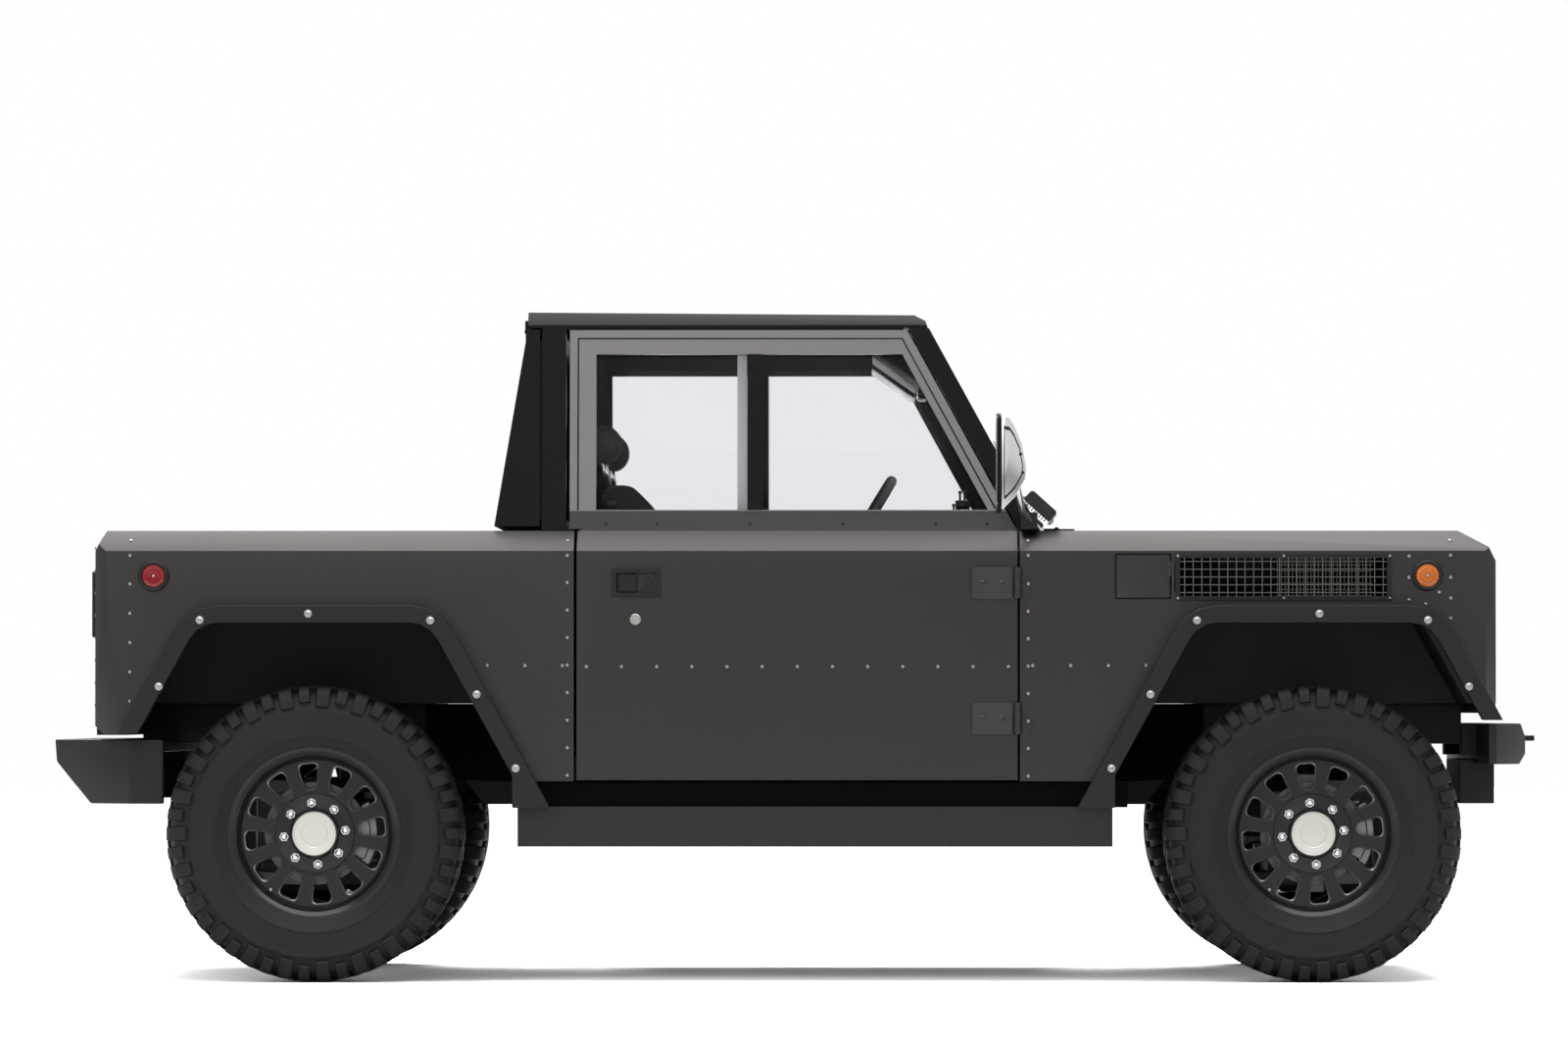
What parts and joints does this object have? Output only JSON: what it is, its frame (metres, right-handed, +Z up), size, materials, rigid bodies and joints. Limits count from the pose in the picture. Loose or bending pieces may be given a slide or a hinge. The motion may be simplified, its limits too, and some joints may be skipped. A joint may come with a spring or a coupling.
{
  "type": "electric pickup truck",
  "caption": "Boxy electric pickup truck with a half cab, flat riveted panels, open load bed, wide wheel flares, off-road tyres and side-hinged doors.",
  "frame": {"origin": "on the ground, at the middle of the truck's box seen from above", "axes": "+X forward, +Y to the driver's left, +Z up"},
  "size_m": [4.008, 2.27, 1.795],
  "materials": {
    "body_paint": "satin anthracite paint on flat aluminium panels",
    "trim_black": "fine-grained matte black",
    "frame_black": "satin black powder coat",
    "rocker_grey": "satin dark grey powder coat",
    "tyre_rubber": "matte black rubber",
    "rim_black": "satin black",
    "glass": "clear, lightly tinted",
    "lamp_clear": "clear polished lens",
    "lamp_red": "red polished lens",
    "cast_metal": "as cast",
    "seat_cloth": "woven black cloth",
    "cabin_plastic": "grained dark grey",
    "bed_liner": "coarse sprayed liner"
  },
  "bodies": {
    "truck_body": {"battery_pack": "frame_black", "bed_tub": "bed_liner", "bedside_left": "body_paint", "bedside_right": "body_paint", "cab_floor": "cabin_plastic", "cab_top": "body_paint", "chassis_frame": "frame_black", "dashboard": "cabin_plastic", "fender_left": "body_paint", "fender_right": "body_paint", "flare_front_left": "trim_black", "flare_front_right": "trim_black", "flare_rear_left": "trim_black", "flare_rear_right": "trim_black", "front_bumper": "trim_black", "front_drive_unit": "cast_metal", "front_panel": "body_paint", "front_suspension": "frame_black", "front_tub": "trim_black", "headlamp_left": "lamp_clear", "headlamp_right": "lamp_clear", "mirror_left": "trim_black", "mirror_right": "trim_black", "rear_bumper": "trim_black", "rear_drive_unit": "cast_metal", "rear_suspension": "frame_black", "rocker_left": "rocker_grey", "rocker_right": "rocker_grey", "seat_left": "seat_cloth", "seat_right": "seat_cloth", "side_grille_left": "trim_black", "side_grille_right": "trim_black", "tail_lamp_left": "lamp_red", "tail_lamp_right": "lamp_red", "windshield_frame": "frame_black", "windshield_glass": "glass"},
    "door_left_body": {"door_left": "body_paint", "door_glass_left": "glass"},
    "door_right_body": {"door_right": "body_paint", "door_glass_right": "glass"},
    "hood_body": {"hood": "body_paint"},
    "tailgate_body": {"tailgate": "body_paint"},
    "hatch_body": {"rear_hatch": "body_paint", "rear_hatch_glass": "glass"},
    "charge_door_body": {"charge_door": "body_paint"},
    "steering_wheel_body": {"steering_wheel": "cabin_plastic"},
    "steering_rack_body": {"steering_rack": "cast_metal"},
    "knuckle_left_body": {"knuckle_left": "cast_metal"},
    "knuckle_right_body": {"knuckle_right": "cast_metal"},
    "wheel_front_left": {"tyre_front_left": "tyre_rubber", "rim_front_left": "rim_black"},
    "wheel_front_right": {"tyre_front_right": "tyre_rubber", "rim_front_right": "rim_black"},
    "wheel_rear_left": {"tyre_rear_left": "tyre_rubber", "rim_rear_left": "rim_black"},
    "wheel_rear_right": {"tyre_rear_right": "tyre_rubber", "rim_rear_right": "rim_black"}
  },
  "joints": [
    {"name": "steer_left", "type": "hinge", "parent": "truck_body", "child": "knuckle_left_body", "pos_m": [1.3745, 0.745, 0.397], "axis": [0, 0, 1], "range_deg": [-32, 32]},
    {"name": "steer_right", "type": "hinge", "parent": "truck_body", "child": "knuckle_right_body", "pos_m": [1.3745, -0.745, 0.397], "axis": [0, 0, 1], "range_deg": [-32, 32]},
    {"name": "steering_rack_slide", "type": "slide", "parent": "truck_body", "child": "steering_rack_body", "axis": [0, 1, 0], "range_m": [-0.074, 0.074]},
    {"name": "steering_wheel_turn", "type": "hinge", "parent": "truck_body", "child": "steering_wheel_body", "pos_m": [0.158, 0.38, 1.21], "axis": [-0.8571, 0, 0.5151], "range_deg": [-420, 420]},
    {"name": "wheel_front_left_spin", "type": "hinge", "parent": "knuckle_left_body", "child": "wheel_front_left", "pos_m": [1.3745, 0.8125, 0.397], "axis": [0, 1, 0], "continuous": true},
    {"name": "wheel_front_right_spin", "type": "hinge", "parent": "knuckle_right_body", "child": "wheel_front_right", "pos_m": [1.3745, -0.8125, 0.397], "axis": [0, 1, 0], "continuous": true},
    {"name": "wheel_rear_left_spin", "type": "hinge", "parent": "truck_body", "child": "wheel_rear_left", "pos_m": [-1.2925, 0.8125, 0.397], "axis": [0, 1, 0], "continuous": true},
    {"name": "wheel_rear_right_spin", "type": "hinge", "parent": "truck_body", "child": "wheel_rear_right", "pos_m": [-1.2925, -0.8125, 0.397], "axis": [0, 1, 0], "continuous": true},
    {"name": "door_left_hinge", "type": "hinge", "parent": "truck_body", "child": "door_left_body", "pos_m": [0.586, 0.928, 0.885], "axis": [0, 0, -1], "range_deg": [0, 65]},
    {"name": "door_right_hinge", "type": "hinge", "parent": "truck_body", "child": "door_right_body", "pos_m": [0.586, -0.928, 0.885], "axis": [0, 0, 1], "range_deg": [0, 65]},
    {"name": "hood_hinge", "type": "hinge", "parent": "truck_body", "child": "hood_body", "pos_m": [0.697, 0, 1.214], "axis": [0, -1, 0], "range_deg": [0, 50]},
    {"name": "tailgate_hinge", "type": "hinge", "parent": "truck_body", "child": "tailgate_body", "pos_m": [-1.886, 0, 0.704], "axis": [0, -1, 0], "range_deg": [0, 90]},
    {"name": "rear_hatch_hinge", "type": "hinge", "parent": "truck_body", "child": "hatch_body", "pos_m": [-0.737, 0, 1.752], "axis": [0, 1, 0], "range_deg": [0, 80]},
    {"name": "charge_door_hinge", "type": "hinge", "parent": "truck_body", "child": "charge_door_body", "pos_m": [1.0005, -0.921, 1.084], "axis": [0, 0, 1], "range_deg": [0, 100]}
  ],
  "couplings": [
    {"joint": "steer_right", "follows": "steer_left", "ratio": 1},
    {"joint": "steering_rack_slide", "follows": "steer_left", "m_per_rad": -0.1234},
    {"joint": "steering_wheel_turn", "follows": "steer_left", "ratio": 13}
  ]
}
